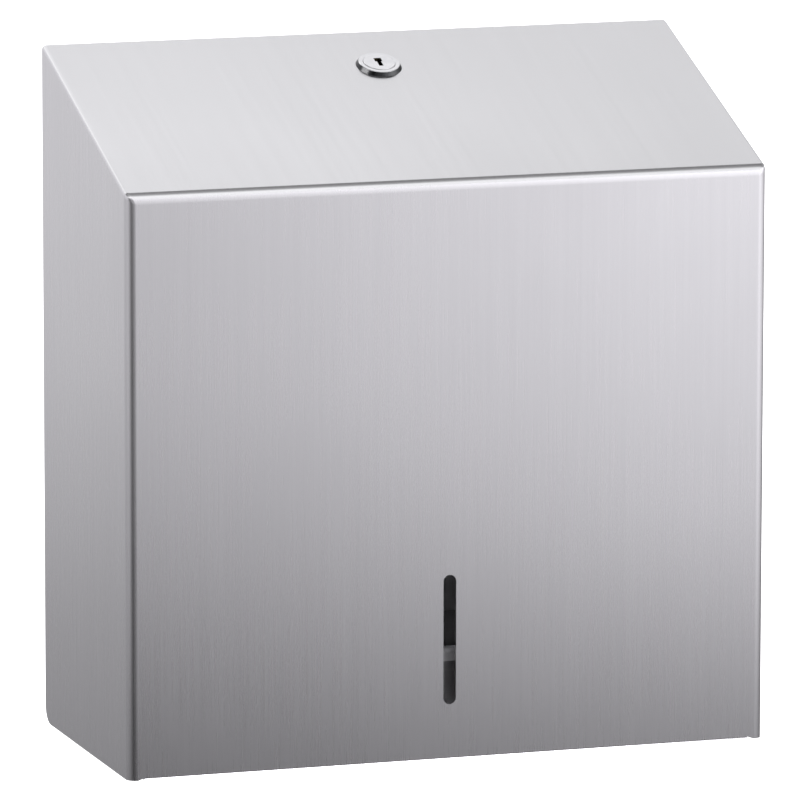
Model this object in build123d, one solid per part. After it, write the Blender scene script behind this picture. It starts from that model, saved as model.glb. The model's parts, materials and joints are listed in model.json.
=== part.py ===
from build123d import *

import os
from math import atan2, cos, hypot, radians, sin, tan

# Wall-hung folded towel dispenser in brushed stainless sheet.
#
# A one-piece cover (front, sides and sloping top) is hinged low at the back of a folded back
# plate. A cam lock in the sloping top swings its cam into a slotted keeper on the back plate.
# Inside, a tray with a hemmed opening carries the towel stack and two guides centre it.
#
# Frame: the origin is the centre of the four wall screw holes, on the wall plane. +X is to the
# right seen from the front, +Y goes into the wall, +Z is up. Sizes are in millimetres.

# Casing, outside
casing_width = 300.0
casing_depth = 135.0
front_height = 262.0
rear_height = 312.0
cover_sheet = 1.0
bend_radius = 5.5
top_edge_radius = 2.0
wall_gap = 0.5
front_return = 12.0

# Viewing slot in the cover's front
view_slot_width = 6.0
view_slot_length = 59.0
view_slot_foot = 25.4

# Hinge and opening stop
hinge_inset = 8.0
hinge_stud_diameter = 6.0
hinge_play = 0.05
bush_wall = 1.5
bush_flange_diameter = 12.0
bush_flange_thickness = 0.9
bush_overhang = 0.3
side_play = 0.3
groove_diameter = 5.0
clip_diameter = 11.0
clip_mouth = 4.0
clip_thickness = 0.8
clip_play = 0.2
stud_end_length = 0.8
stop_stud_diameter = 5.0
stop_stud_radius = 22.0
stop_stud_angle = 90.0
stop_slot_play = 0.3
stop_slot_margin = 1.5
cover_opening = 75.0
stop_stud_end_gap = 0.2

# Back plate
plate_sheet = 1.5
plate_foot = 3.0
plate_bend = 2.5
cheek_depth = 38.0
cheek_corner = 9.0
plate_top_drop = 3.0
top_flange_depth = 18.0
wall_hole_spacing_x = 200.0
wall_hole_spacing_z = 200.0
wall_hole_diameter = 6.5
buffer_margin = 37.8
buffer_head_diameter = 9.0
buffer_stem_diameter = 4.8
buffer_stem_play = 0.1
buffer_bulb_diameter = 6.6
buffer_bulb_length = 2.2
buffer_air = 0.3
buffer_setback = 10.0

# Towel tray
tray_sheet = 1.0
tray_floor_height = 18.0
tray_side_gap = 0.4
tray_front_gap = 8.5
tray_rear_flange = 24.0
tray_side_flange = 22.0
tray_lip_height = 31.4
tray_corner_relief = 2.0
tray_roll_diameter = 6.0
tray_corner = 3.0
opening_end_margin = 28.0
opening_depth = 46.0
opening_corner = 12.0
opening_offset = 2.5
finger_bay_diameter = 76.0
opening_hem = 5.0

# Towel guides
guide_sheet = 1.0
guide_side_gap = 1.3
guide_front_gap = 20.0
guide_foot = 46.0
guide_height = 165.0
guide_flange = 17.0
guide_lead_in = 12.0
guide_lead_angle = 25.0
guide_corner = 6.0

# Screws
screw_diameter = 4.0
screw_play = 0.05
screw_head_diameter = 8.0
screw_head_height = 2.4
screw_end_gap = 0.2
screw_head_rounding = 1.4
screw_drive_width = 1.2
screw_drive_length = 4.4
screw_drive_depth = 1.3
tray_screw_margin = 36.0
tray_screw_count = 4
tray_screw_height = 14.0
guide_screw_spacing = 110.0

# Cam lock, measured along its axis from the outside of the sloping top
lock_setback = 33.0
lock_head_diameter = 21.2
lock_face_diameter = 18.8
lock_head_height = 1.8
lock_head_edge = 0.4
lock_body_diameter = 16.0
lock_body_flats = 14.2
lock_body_length = 19.0
lock_hole_play = 0.1
thread_pitch = 1.5
thread_depth = 0.4
barrel_chamfer = 0.5
plug_face_diameter = 14.6
plug_face_depth = 1.5
plug_diameter = 12.4
plug_play = 0.1
plug_proud = 0.2
plug_tang_diameter = 8.0
plug_tang_flats = 6.2
plug_tang_length = 3.4
key_slot_width = 2.0
key_slot_length = 7.4
key_slot_wide = 3.4
key_slot_wide_length = 3.2
key_slot_depth = 16.5
washer_diameter = 22.0
washer_thickness = 0.8
washer_teeth = 12
washer_tooth_gap = 1.6
washer_tooth_depth = 1.2
nut_flats = 20.0
nut_thickness = 3.0

# Wafers inside the plug
wafer_count = 5
wafer_pitch = 2.4
wafer_first = 4.0
wafer_thickness = 0.8
wafer_width = 7.0
wafer_height = 11.0
wafer_play = 0.1
wafer_window_width = 4.2
wafer_window_heights = (7.9, 8.2, 7.9, 8.3, 8.1)

# Cam and its fixing
cam_thickness = 2.0
cam_hub_diameter = 15.0
cam_width = 9.0
cam_reach = 18.0
cam_play = 0.05
cam_air = 0.3
spring_washer_diameter = 9.0
spring_washer_thickness = 0.9
cam_screw_diameter = 4.0
cam_screw_head_diameter = 8.0
cam_screw_head_height = 2.6
cam_screw_length = 3.6

# Keeper for the cam
keeper_sheet = 2.0
keeper_offset = 13.0
keeper_wing = 24.0
keeper_above = 9.0
keeper_below = 13.0
keeper_nose = 8.0
keeper_slot_play = 0.8
keeper_nose_gap = 0.7
keeper_screw_spacing = 11.0

# Places worked out from the sizes above
lock_bore = lock_body_diameter + 2 * lock_hole_play
screw_hole = screw_diameter + 2 * screw_play
base_z = -rear_height / 2
front_y = -casing_depth
rear_y = -wall_gap
inner_half_width = casing_width / 2 - cover_sheet
slope = atan2(rear_height - front_height, casing_depth - wall_gap)
slope_length = hypot(rear_height - front_height, casing_depth - wall_gap)
hinge_y = rear_y - hinge_inset
hinge_z = base_z + hinge_inset
cheek_outer = inner_half_width - bush_flange_thickness - side_play
cheek_inner = cheek_outer - plate_sheet
plate_front_y = -plate_sheet
tray_floor_z = base_z + tray_floor_height
tray_half_width = cheek_inner - tray_side_gap
plate_bottom_z = base_z + plate_foot
tray_reach = casing_depth - cover_sheet - plate_sheet - tray_front_gap
opening_centre = plate_sheet + tray_reach / 2 + opening_offset
guide_half_spacing = cheek_inner - guide_side_gap - guide_flange
guide_reach = tray_reach - guide_front_gap
opening_length = 2 * (guide_half_spacing - opening_end_margin)
tray_screw_spacing = 2 * (tray_half_width - tray_screw_margin)
buffer_spacing = 2 * (cheek_outer - buffer_margin)
stop_y = hinge_y + stop_stud_radius * cos(radians(stop_stud_angle))
stop_z = hinge_z + stop_stud_radius * sin(radians(stop_stud_angle))
far = 2 * casing_width
sides = {"left": -1, "right": 1}

# Local frame of the sloping top: z out of the top, y up the slope, origin on the top's rear edge
top_plane = Plane(
    origin=(0, rear_y, base_z + rear_height),
    x_dir=(1, 0, 0),
    z_dir=(0, -sin(slope), cos(slope)),
)
lock_plane = top_plane.offset(0)
lock_plane.origin = top_plane.from_local_coords((0, -lock_setback, 0))


def on_top(shape):
    """A shape drawn in the sloping top's frame, moved to its place."""
    return top_plane.location * shape


def on_lock(shape):
    """A shape drawn in the lock's frame, moved to its place."""
    return lock_plane.location * shape


def disc(diameter, top, bottom):
    """A cylinder about local z between two heights."""
    return Pos(0, 0, bottom) * extrude(Circle(diameter / 2), amount=top - bottom)


def side_prism(points, half_width, corner_radius=0.0, corner=None):
    """A (y, z) outline drawn out to both sides, with one of its corners rounded."""
    outline = make_face(Polyline(*points, close=True))
    if corner_radius:
        rounded = [
            v for v in outline.vertices() if hypot(v.X - corner[0], v.Y - corner[1]) < 1e-6
        ]
        outline = fillet(rounded, corner_radius)
    return extrude(Plane.YZ * outline, amount=half_width, both=True)


def along_x(shape_face, start, length):
    """A face drawn on the (y, z) plane, extruded along x from start."""
    return Pos(start, 0, 0) * extrude(Plane.YZ * shape_face, amount=length)


def top_z(y, drop=0.0):
    """Height of the sloping top at y, or of a plane that far under it."""
    return base_z + rear_height - (rear_y - y) * tan(slope) - drop / cos(slope)


def side_disc(diameter, y, z, inner, outer, side):
    """A cylinder about x between two distances from the middle, on one side."""
    low, high = sorted((side * inner, side * outer))
    return along_x(Pos(y, z) * Circle(diameter / 2), low, high - low)


def runs_up_slope(edge, half_width):
    """Whether an edge runs up the slope at one side."""
    along = edge.tangent_at(0.5)
    at_side = abs(abs(edge.center().X) - half_width) < 1e-3
    return at_side and abs(along.Z) > 0.1 and abs(along.Y) > 0.5 and edge.length > slope_length / 2


def make_cover():
    """The one-piece cover: front, two sides and the sloping top."""
    outline = [
        (rear_y, base_z),
        (front_y, base_z),
        (front_y, base_z + front_height),
        (rear_y, base_z + rear_height),
    ]
    body = side_prism(outline, casing_width / 2, hinge_inset, (rear_y, base_z))
    front_bends = [
        e for e in body.edges().filter_by(Axis.Z)
        if abs(e.center().Y - front_y) < 1e-3
    ] + [
        e for e in body.edges().filter_by(Axis.X)
        if abs(e.center().Y - front_y) < 1e-3 and e.center().Z > base_z + 1
    ]
    body = fillet(front_bends, bend_radius)
    slope_edges = [e for e in body.edges() if runs_up_slope(e, casing_width / 2)]
    body = fillet(slope_edges, top_edge_radius)

    inner_front = front_y + cover_sheet
    hollow_outline = [
        (far, base_z - far),
        (inner_front, base_z - far),
        (inner_front, top_z(inner_front, cover_sheet)),
        (far, top_z(far, cover_sheet)),
    ]
    hollow = side_prism(hollow_outline, inner_half_width)
    inner_bends = [
        e for e in hollow.edges().filter_by(Axis.Z) if abs(e.center().Y - inner_front) < 1e-3
    ] + [
        e for e in hollow.edges().filter_by(Axis.X)
        if abs(e.center().Y - inner_front) < 1e-3 and e.center().Z > base_z
    ]
    hollow = fillet(inner_bends, bend_radius - cover_sheet)
    hollow_slopes = [e for e in hollow.edges() if runs_up_slope(e, inner_half_width)]
    hollow = fillet(hollow_slopes, top_edge_radius - cover_sheet)

    # The lower edge of the front keeps a return, turned in for stiffness
    return_depth = front_return - cover_sheet
    lip = Pos(0, inner_front, base_z) * Box(
        2 * inner_half_width, return_depth, cover_sheet, align=(Align.CENTER, Align.MIN, Align.MIN)
    )
    lip_corners = [e for e in lip.edges().filter_by(Axis.Z) if e.center().Y > inner_front + 1]
    lip = fillet(lip_corners, bend_radius)
    body -= hollow - lip
    view_slot = Plane.XZ * (
        Pos(0, base_z + view_slot_foot + view_slot_length / 2)
        * SlotOverall(view_slot_length, view_slot_width, rotation=90)
    )
    body -= Pos(0, front_y - 1, 0) * extrude(view_slot, amount=-(cover_sheet + 2))
    lock_hole = double_flat(lock_bore, lock_body_flats + 2 * lock_hole_play)
    body -= on_lock(Pos(0, 0, -bend_radius) * extrude(lock_hole, amount=2 * bend_radius))
    return body


def double_flat(diameter, flats):
    """A circle with two flats across x."""
    return Circle(diameter / 2) & Rectangle(flats, diameter)


def wall_holes():
    """The four places of the wall screws on the back plate, as (x, z)."""
    across = (-wall_hole_spacing_x / 2, wall_hole_spacing_x / 2)
    up = (-wall_hole_spacing_z / 2, wall_hole_spacing_z / 2)
    return [(x, z) for x in across for z in up]


def drilled(places, diameter, y_front, y_rear):
    """Round holes through y, at (x, z) places."""
    holes = []
    for x, z in places:
        face = Plane.XZ * (Pos(x, z) * Circle(diameter / 2))
        holes.append(Pos(0, y_front, 0) * extrude(face, amount=y_front - y_rear))
    return holes


def make_back_plate():
    """The folded back plate: panel, two cheeks and a sloping top flange."""
    under_cover = cover_sheet + plate_top_drop
    outline = [
        (0, plate_bottom_z),
        (-cheek_depth, plate_bottom_z),
        (-cheek_depth, top_z(-cheek_depth, under_cover)),
        (0, top_z(0, under_cover)),
    ]
    body = side_prism(outline, cheek_outer, cheek_corner, (-cheek_depth, plate_bottom_z))
    rear_bends = [
        e for e in body.edges()
        if abs(e.center().Y) < 1e-3 and e.center().Z > plate_bottom_z + 1
    ]
    body = fillet(rear_bends, plate_bend)
    hollow_outline = [
        (plate_front_y, plate_bottom_z - far),
        (-far, plate_bottom_z - far),
        (-far, top_z(-far, under_cover + plate_sheet)),
        (plate_front_y, top_z(plate_front_y, under_cover + plate_sheet)),
    ]
    hollow = side_prism(hollow_outline, cheek_inner)
    hollow_bends = [
        e for e in hollow.edges()
        if abs(e.center().Y - plate_front_y) < 1e-3 and e.center().Z > plate_bottom_z - far + 1
    ]
    hollow = fillet(hollow_bends, plate_bend - plate_sheet)
    body -= hollow

    # The top flange is shorter than the cheeks
    flange_cut = on_top(
        Pos(0, -top_flange_depth, -under_cover)
        * Box(
            2 * cheek_inner, far, 2 * (plate_sheet + 1),
            align=(Align.CENTER, Align.MAX, Align.CENTER),
        )
    )
    body -= flange_cut
    body -= drilled(wall_holes(), wall_hole_diameter, -plate_sheet - 1, 1)
    body -= drilled(tray_screw_places(), screw_hole, -plate_sheet - 1, 1)
    for side in sides.values():
        body -= drilled(guide_screw_places(side), screw_hole, -plate_sheet - 1, 1)
    body -= drilled(keeper_screw_places(), screw_hole, -plate_sheet - 1, 1)

    bush_hole = 2 * cheek_outer + 4
    body -= along_x(Pos(hinge_y, hinge_z) * Circle(bush_outer_radius()), -bush_hole / 2, bush_hole)
    body -= along_x(stop_slot(), -bush_hole / 2, bush_hole)
    stem_hole = buffer_stem_diameter + 2 * buffer_stem_play
    for x in (-buffer_spacing / 2, buffer_spacing / 2):
        hole = disc(stem_hole, -under_cover + 1, -under_cover - 2 * plate_sheet)
        body -= on_top(Pos(x, -buffer_setback, 0) * hole)
    return body


def bush_outer_radius():
    """Outer radius of the hinge bush, which is the hole's in the cheek."""
    return hinge_stud_diameter / 2 + hinge_play + bush_wall


def stop_slot():
    """The arc slot that the stop stud runs in, on the (y, z) plane."""
    start = stop_stud_angle - stop_slot_margin
    sweep = cover_opening + 2 * stop_slot_margin
    path = CenterArc((hinge_y, hinge_z), stop_stud_radius, start, sweep)
    return SlotArc(path, stop_stud_diameter + 2 * stop_slot_play)


def tray_screw_places():
    """Places of the tray's screws, as (x, z)."""
    step = tray_screw_spacing / (tray_screw_count - 1)
    z = tray_floor_z + tray_screw_height
    return [(n * step - tray_screw_spacing / 2, z) for n in range(tray_screw_count)]


def guide_screw_places(side):
    """Places of one guide's screws, as (x, z)."""
    x = side * (guide_half_spacing + guide_sheet + (guide_flange - guide_sheet) / 2)
    z = base_z + guide_foot + guide_height / 2
    return [(x, z - guide_screw_spacing / 2), (x, z + guide_screw_spacing / 2)]


def keeper_screw_places():
    """Places of the keeper's screws, as (x, z)."""
    x = keeper_offset + keeper_sheet + (keeper_wing - keeper_sheet) / 2
    z = cam_point().Z + (keeper_above - keeper_below) / 2
    return [(x, z - keeper_screw_spacing / 2), (x, z + keeper_screw_spacing / 2)]


def cam_top():
    """The cam's upper face, along the lock's axis."""
    return -lock_body_length - cam_air


def cam_point():
    """The middle of the cam's hub."""
    return lock_plane.from_local_coords((0, 0, cam_top() - cam_thickness / 2))


def make_tray():
    """The towel tray: floor with a hemmed opening, rolled front lip, rear and side flanges."""
    rear = plate_front_y
    front = rear - tray_reach
    blank = extrude(Rectangle(2 * tray_half_width, tray_reach), amount=tray_lip_height)
    blank = Pos(0, (rear + front) / 2, tray_floor_z) * blank
    blank = fillet(
        [e for e in blank.edges().filter_by(Axis.X) if e.center().Z < tray_floor_z + 1], tray_corner
    )
    inside = extrude(
        Rectangle(2 * (tray_half_width - tray_sheet), tray_reach - 2 * tray_sheet), amount=far
    )
    inside = Pos(0, (rear + front) / 2, tray_floor_z + tray_sheet) * inside
    inside = fillet(
        [e for e in inside.edges().filter_by(Axis.X) if e.center().Z < tray_floor_z + 2],
        tray_corner - tray_sheet,
    )
    body = blank - inside

    # Square reliefs clear the back plate's inner bends
    relief = 2 * tray_corner_relief
    for x in (-tray_half_width, tray_half_width):
        body -= Pos(x, rear, tray_floor_z) * Box(
            relief, relief, far, align=(Align.CENTER, Align.CENTER, Align.CENTER)
        )

    # The rear and side flanges are lower than the front lip
    side_cut_depth = tray_reach - 2 * tray_corner
    side_cut = Pos(0, rear + 1, tray_floor_z + tray_side_flange) * Box(
        2 * tray_half_width + 2, side_cut_depth + 1, far, align=(Align.CENTER, Align.MAX, Align.MIN)
    )
    body -= side_cut
    rear_cut = Pos(0, rear + 1, tray_floor_z + tray_rear_flange) * Box(
        2 * tray_half_width + 2, tray_corner, far, align=(Align.CENTER, Align.MAX, Align.MIN)
    )
    body -= rear_cut

    # The front lip ends in a roll turned inwards
    roll_y = front + tray_roll_diameter / 2
    roll_z = tray_floor_z + tray_lip_height - tray_roll_diameter / 2
    roll_length = 2 * (tray_half_width - tray_corner)
    roll = Circle(tray_roll_diameter / 2) - Circle(tray_roll_diameter / 2 - tray_sheet)
    lip_trim = Pos(0, front - 1, roll_z) * Box(
        2 * tray_half_width + 2, tray_corner + 1, far, align=(Align.CENTER, Align.MIN, Align.MIN)
    )
    body -= lip_trim
    body += along_x(Pos(roll_y, roll_z) * roll, -roll_length / 2, roll_length)

    hem_outline = opening_outline(0.0)
    hem = extrude(opening_outline(tray_sheet), amount=opening_hem) - extrude(
        hem_outline, amount=opening_hem
    )
    centre = (0, -opening_centre, tray_floor_z + tray_sheet)
    body -= Pos(0, -opening_centre, tray_floor_z - 1) * extrude(hem_outline, amount=tray_sheet + 2)
    body += Pos(centre[0], centre[1], centre[2] - opening_hem) * hem
    body -= drilled(tray_screw_places(), screw_hole, rear - 2 * tray_sheet, rear)
    return body


def opening_outline(grow):
    """The dispensing opening with its finger bay, grown outwards by a wall."""
    slot = RectangleRounded(
        opening_length + 2 * grow, opening_depth + 2 * grow, opening_corner + grow
    )
    bay = Circle(finger_bay_diameter / 2 + grow)
    return slot + bay


def make_guide(side):
    """One towel guide: a web beside the stack, a flange to the back plate and a flared lead-in."""
    rear = plate_front_y
    height = guide_height
    z = base_z + guide_foot
    web_reach = guide_reach - guide_lead_in
    inner = guide_half_spacing
    flare = radians(guide_lead_angle)
    run = guide_lead_in
    tip = (inner + run * sin(flare), rear - web_reach - run * cos(flare))
    across = (guide_sheet * cos(flare), -guide_sheet * sin(flare))
    knee = guide_sheet * tan(flare / 2)
    outline = Polyline(
        (inner, rear),
        (inner, rear - web_reach),
        tip,
        (tip[0] + across[0], tip[1] - across[1]),
        (inner + guide_sheet, rear - web_reach + knee),
        (inner + guide_sheet, rear - guide_sheet),
        (inner + guide_flange, rear - guide_sheet),
        (inner + guide_flange, rear),
        close=True,
    )
    body = Pos(0, 0, z) * extrude(make_face(outline), amount=height)
    tip_edges = [
        e for e in body.edges() if abs(e.length - guide_sheet) < 1e-3
        and e.center().Y < rear - web_reach - run / 2
    ]
    body = fillet(tip_edges, guide_corner)
    body -= drilled(guide_screw_places(1), screw_hole, rear - 2 * guide_sheet, rear)
    if side < 0:
        body = mirror(body, about=Plane.YZ)
    return body


def cross_drive():
    """The outline of a screw head's cross-shaped recess."""
    return Rectangle(screw_drive_length, screw_drive_width) + Rectangle(
        screw_drive_width, screw_drive_length
    )


def pan_screws(places, seat_y):
    """Pan-head screws with a cross drive, driven towards the wall from a seat."""
    screw = extrude(Circle(screw_diameter / 2), amount=-(-seat_y - screw_end_gap))
    head = extrude(Circle(screw_head_diameter / 2), amount=screw_head_height)
    head = fillet(head.edges().group_by(Axis.Z)[-1], screw_head_rounding)
    drive_foot = screw_head_height - screw_drive_depth
    head -= Pos(0, 0, drive_foot) * extrude(cross_drive(), amount=screw_drive_depth)
    one = screw + head
    face = Plane(origin=(0, seat_y, 0), x_dir=(1, 0, 0), z_dir=(0, -1, 0))
    return [face.location * (Pos(x, z) * one) for x, z in places]


def make_buffers():
    """Two rubber buffers, their stems snapped through the back plate's top flange."""
    seat = -cover_sheet - plate_top_drop
    underside = seat - plate_sheet
    head_top = -cover_sheet - buffer_air
    one = disc(buffer_head_diameter, head_top, seat)
    one = fillet(one.edges().group_by(Axis.Z)[-1], buffer_air * 2)
    one += disc(buffer_stem_diameter, seat, underside)
    one += disc(buffer_bulb_diameter, underside, underside - buffer_bulb_length)
    one = fillet(one.edges().group_by(Axis.Z)[0], buffer_bulb_length / 2)
    return [
        on_top(Pos(x, -buffer_setback, 0) * one) for x in (-buffer_spacing / 2, buffer_spacing / 2)
    ]


def hinge_disc(diameter, inner, outer, side):
    """A cylinder on the hinge axis between two distances from the middle, on one side."""
    return side_disc(diameter, hinge_y, hinge_z, inner, outer, side)


def make_bush(side):
    """A flanged nylon bush in one cheek, with the hinge stud's bore."""
    inner_end = cheek_inner - bush_overhang
    flange_face = cheek_outer + bush_flange_thickness
    bush = hinge_disc(bush_flange_diameter, cheek_outer, flange_face, side)
    bush += hinge_disc(2 * bush_outer_radius(), inner_end, cheek_outer, side)
    bore = hinge_stud_diameter + 2 * hinge_play
    return bush - hinge_disc(bore, inner_end - 1, inner_half_width + 1, side)


def clip_inner():
    """Distance of the clip's inner face from the middle."""
    return cheek_inner - bush_overhang - clip_play - clip_thickness


def make_hinge_stud(side):
    """The weld stud on the cover's side, grooved for its clip."""
    end = clip_inner() - stud_end_length
    stud = hinge_disc(hinge_stud_diameter, end, inner_half_width, side)
    groove = hinge_disc(hinge_stud_diameter + 2, clip_inner(), clip_inner() + clip_thickness, side)
    groove -= hinge_disc(groove_diameter, clip_inner() - 1, inner_half_width, side)
    return stud - groove


def make_clip(side):
    """An open retaining clip in the hinge stud's groove."""
    ring = hinge_disc(clip_diameter, clip_inner(), clip_inner() + clip_thickness, side)
    ring -= hinge_disc(groove_diameter, clip_inner() - 1, inner_half_width, side)
    mouth = Pos(side * clip_inner(), hinge_y - clip_diameter / 2, hinge_z) * Box(
        4 * clip_thickness, clip_diameter, clip_mouth
    )
    return ring - mouth


def make_stop_stud(side):
    """The short stud that runs in the cheek's arc slot."""
    inner = cheek_inner + stop_stud_end_gap
    return side_disc(stop_stud_diameter, stop_y, stop_z, inner, inner_half_width, side)


def make_lock_housing():
    """The lock's body: a coned head over the cover and a threaded barrel with two flats."""
    cone = loft([
        Circle(lock_head_diameter / 2),
        Pos(0, 0, lock_head_height) * Circle(lock_face_diameter / 2),
    ])
    cone = fillet(cone.edges().group_by(Axis.Z)[-1], lock_head_edge)
    crest = lock_body_diameter / 2
    root = crest - thread_depth
    turns = int((lock_body_length - 2) / thread_pitch)
    profile = [(0, 0), (crest, 0), (crest, -cover_sheet)]
    start = -cover_sheet
    for n in range(turns):
        top = start - n * thread_pitch
        profile += [
            (crest, top - thread_pitch * 0.3),
            (root, top - thread_pitch * 0.55),
            (root, top - thread_pitch * 0.7),
            (crest, top - thread_pitch * 0.95),
        ]
    end = -lock_body_length
    profile += [(crest, end + barrel_chamfer), (crest - barrel_chamfer, end), (0, end)]
    barrel = revolve(Plane.XZ * make_face(Polyline(*profile, close=True)), Axis.Z)
    barrel &= Pos(0, 0, -lock_body_length) * extrude(
        Rectangle(lock_body_flats, lock_body_diameter + 2), amount=lock_body_length
    )
    body = cone + barrel
    body -= disc(plug_diameter + 2 * plug_play, lock_head_height, -lock_body_length)
    seat = lock_head_height - plug_face_depth
    body -= disc(plug_face_diameter + 2 * plug_play, lock_head_height, seat)
    return on_lock(body)


def make_lock_washer():
    """The toothed washer under the lock's nut."""
    top = -cover_sheet
    washer = disc(washer_diameter, top, top - washer_thickness)
    washer -= disc(lock_bore, top + 1, top - washer_thickness - 1)
    notch = Box(2 * washer_tooth_depth, washer_tooth_gap, 2 * washer_thickness)
    notch = Pos(washer_diameter / 2, 0, top - washer_thickness / 2) * notch
    for place in PolarLocations(0, washer_teeth):
        washer -= place * notch
    return on_lock(washer)


def make_lock_nut():
    """The thin hexagon nut that clamps the lock to the cover."""
    top = -cover_sheet - washer_thickness
    nut = Pos(0, 0, top - nut_thickness) * extrude(
        RegularPolygon(nut_flats / 2, 6, major_radius=False), amount=nut_thickness
    )
    chamfered = disc(nut_flats * 1.1, top, top - nut_thickness)
    chamfered = chamfer(chamfered.edges().group_by(Axis.Z)[0], 0.6)
    nut &= chamfered
    return on_lock(nut - disc(lock_bore, top + 1, top - nut_thickness - 1))


def plug_top():
    """The plug's outer face along the lock's axis."""
    return lock_head_height + plug_proud


def make_lock_plug():
    """The turning plug, with the key slot, wafer slots and the cam's tang."""
    face_top = plug_top()
    shoulder = lock_head_height - plug_face_depth + plug_play
    plug = disc(plug_face_diameter, face_top, shoulder)
    plug = fillet(plug.edges().group_by(Axis.Z)[-1], plug_proud)
    plug += disc(plug_diameter, shoulder, -lock_body_length - cam_air)
    tang = double_flat(plug_tang_diameter, plug_tang_flats)
    tang_end = cam_top() - plug_tang_length
    plug += Pos(0, 0, tang_end) * extrude(tang, amount=plug_tang_length)
    slot = Rectangle(key_slot_width, key_slot_length) + Pos(
        0, (key_slot_length - key_slot_wide_length) / 2
    ) * Rectangle(key_slot_wide, key_slot_wide_length)
    plug -= Pos(0, 0, face_top - key_slot_depth) * extrude(slot, amount=key_slot_depth + 1)
    room = Box(wafer_width + 2 * wafer_play, plug_diameter + 2, wafer_thickness + 2 * wafer_play)
    for depth in wafer_depths():
        plug -= Pos(0, 0, depth) * (room & disc(plug_diameter, 1, -1))
    plug -= disc(cam_screw_diameter + 2 * screw_play, tang_end + cam_screw_length, tang_end)
    return on_lock(plug)


def wafer_depths():
    """Middles of the wafers along the lock's axis."""
    return [plug_top() - wafer_first - n * wafer_pitch for n in range(wafer_count)]


def make_wafers():
    """The sliding wafers, each with its own window for the key, resting in their slots."""
    wafers = []
    for depth, window in zip(wafer_depths(), wafer_window_heights):
        plate = RectangleRounded(wafer_width, wafer_height, 1.5)
        plate -= RectangleRounded(wafer_window_width, window, 0.6)
        foot = depth - wafer_thickness / 2 - wafer_play
        wafers.append(on_lock(Pos(0, 0, foot) * extrude(plate, amount=wafer_thickness)))
    return wafers


def make_cam():
    """The flat cam, pointing up the slope at rest and sideways when locked."""
    blade = Pos(0, cam_reach / 2) * Rectangle(cam_width, cam_reach)
    blade = (blade & Circle(cam_reach)) + Circle(cam_hub_diameter / 2)
    blade -= double_flat(plug_tang_diameter + 2 * cam_play, plug_tang_flats + 2 * cam_play)
    return on_lock(Pos(0, 0, cam_top() - cam_thickness) * extrude(blade, amount=cam_thickness))


def make_spring_washer():
    """The split spring washer under the cam screw's head."""
    top = cam_top() - plug_tang_length
    washer = disc(spring_washer_diameter, top, top - spring_washer_thickness)
    washer -= disc(cam_screw_diameter + 0.4, top + 1, top - spring_washer_thickness - 1)
    split = Pos(0, -spring_washer_diameter / 2, top) * Box(0.6, spring_washer_diameter, 4)
    return on_lock(washer - split)


def make_cam_plate():
    """The plate that fills the tang between the cam and the spring washer."""
    top = cam_top() - cam_thickness
    bottom = cam_top() - plug_tang_length
    plate = disc(spring_washer_diameter + 2, top, bottom)
    tang = double_flat(plug_tang_diameter + 2 * cam_play, plug_tang_flats + 2 * cam_play)
    return on_lock(plate - Pos(0, 0, bottom - 1) * extrude(tang, amount=plug_tang_length))


def make_cam_screw():
    """The screw that holds the cam to the plug's tang."""
    seat = cam_top() - plug_tang_length - spring_washer_thickness
    bottom = seat - cam_screw_head_height
    head = disc(cam_screw_head_diameter, seat, bottom)
    head = fillet(head.edges().group_by(Axis.Z)[0], screw_head_rounding)
    head -= Pos(0, 0, bottom) * extrude(cross_drive(), amount=screw_drive_depth)
    shank_top = seat + spring_washer_thickness + cam_screw_length - screw_play
    return on_lock(head + disc(cam_screw_diameter, shank_top, seat))


def make_keeper():
    """The keeper: a wing on the back plate and a web with the slot for the cam."""
    middle = cam_point()
    inner = keeper_offset
    nose_y = middle.Y - (cam_width / 2 + keeper_nose_gap + keeper_nose) * cos(slope)
    web_low, web_high = middle.Z - keeper_below, middle.Z + keeper_above
    rear = plate_front_y
    web = Pos(inner, rear, web_low) * Box(
        keeper_sheet, rear - nose_y, web_high - web_low, align=(Align.MIN, Align.MAX, Align.MIN)
    )
    nose_corners = [e for e in web.edges().filter_by(Axis.X) if e.center().Y < nose_y + 1]
    web = fillet(nose_corners, keeper_sheet * 1.5)
    wing = Pos(inner, rear, web_low) * Box(
        keeper_wing, keeper_sheet, web_high - web_low, align=(Align.MIN, Align.MAX, Align.MIN)
    )
    body = web + wing
    front_end = -(cam_width / 2 + keeper_nose_gap)
    sweep = (cam_reach**2 - keeper_offset**2) ** 0.5
    rear_end = sweep + keeper_nose_gap
    slot_height = cam_thickness + 2 * keeper_slot_play
    slot = Box(2 * keeper_sheet, rear_end - front_end, slot_height)
    slot_x = keeper_offset + keeper_sheet / 2
    slot = Pos(slot_x, (front_end + rear_end) / 2, cam_top() - cam_thickness / 2) * slot
    body -= on_lock(slot)
    body -= drilled(keeper_screw_places(), screw_hole, rear - 2 * keeper_sheet, rear)
    return body


def write(name, *solids):
    """Writes one node, a group of solids where it holds more than one."""
    shapes = [s for item in solids for s in (item if isinstance(item, list) else [item])]
    bodies = [b for shape in shapes for b in shape.solids()]
    node = bodies[0] if len(bodies) == 1 else Compound(children=bodies)
    node.label = name
    export_step(node, f"parts/{name}.step")


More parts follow.
